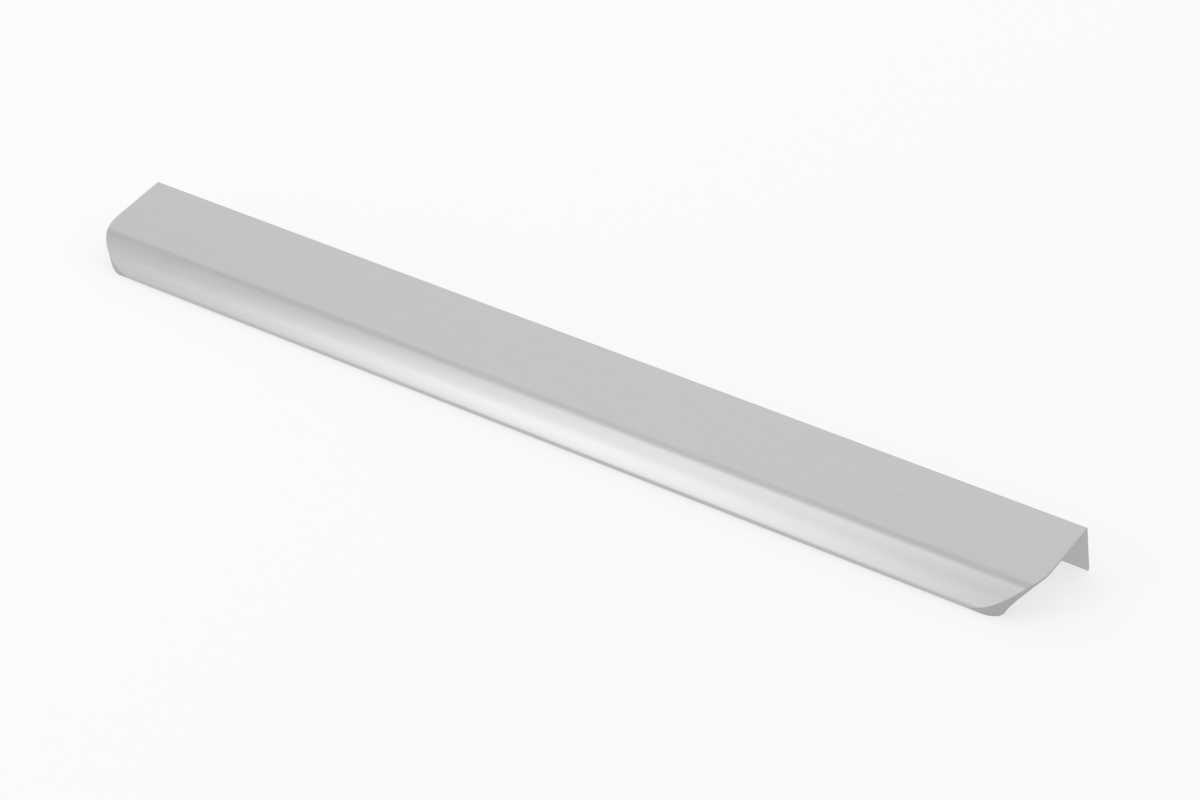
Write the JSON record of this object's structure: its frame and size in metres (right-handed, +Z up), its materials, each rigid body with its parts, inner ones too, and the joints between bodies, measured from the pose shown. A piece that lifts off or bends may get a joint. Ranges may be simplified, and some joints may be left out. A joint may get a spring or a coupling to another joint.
{
  "type": "edge pull cabinet handle",
  "caption": "Long aluminium edge pull for a drawer or cabinet front: flat top, rear screw flange and a curved front lip to grip, with rounded front corners.",
  "frame": {"origin": "centre of the bounding box, on the floor plane under the flange's lower edge and the lip's nose", "axes": "+X along the pull, -Y towards the room (the lip), +Y towards the rear flange, +Z up; the pull lies unheld, so its flat top leans down to the lip by about 11.6 degrees"},
  "size_m": [0.52, 0.0562, 0.0236],
  "materials": {
    "brushed_aluminium": "fine brushed along the length, satin"
  },
  "bodies": {
    "root": {"handle_profile": "brushed_aluminium"}
  },
  "joints": []
}
